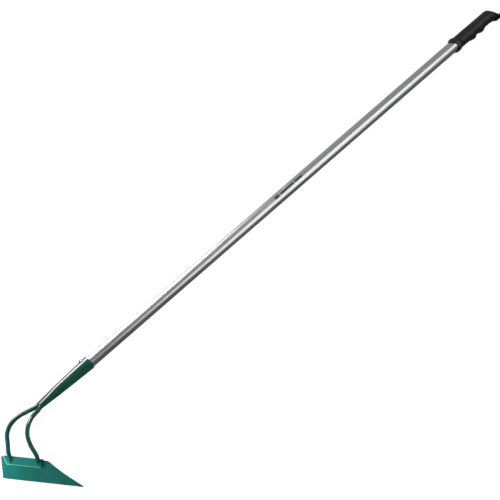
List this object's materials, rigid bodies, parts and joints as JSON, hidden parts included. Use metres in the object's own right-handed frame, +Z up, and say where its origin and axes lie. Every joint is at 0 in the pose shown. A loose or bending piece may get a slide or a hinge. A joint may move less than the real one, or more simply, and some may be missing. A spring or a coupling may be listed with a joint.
{
  "type": "stirrup hoe",
  "caption": "Long-handled garden hoe: a pointed steel blade hung from two bowed arms, a tapered socket, a metal tube handle and a moulded grip with finger ridges and a hanging eye.",
  "frame": {"origin": "on the handle's axis in the middle of the grip, where the gardener's hand closes on it", "axes": "+X along the cutting edge towards the point, +Y along the ground towards the gardener, +Z up; the hoe is held in its working position with its cutting edge level, 0.934 m below the origin"},
  "size_m": [0.5574, 1.0306, 0.9784],
  "materials": {
    "blade_paint": "satin green enamel",
    "socket_paint": "gloss dark green enamel",
    "screw_zinc": "bright zinc plate",
    "tube_aluminium": "drawn satin aluminium",
    "grip_plastic": "fine-grained black moulding"
  },
  "bodies": {
    "root": {"blade": "blade_paint", "foot_weld_left": "blade_paint", "foot_weld_right": "blade_paint", "arm_left": "socket_paint", "arm_right": "socket_paint", "socket_weld": "socket_paint", "socket": "socket_paint", "socket_screw": "screw_zinc", "handle_tube": "tube_aluminium", "grip": "grip_plastic"}
  },
  "joints": []
}
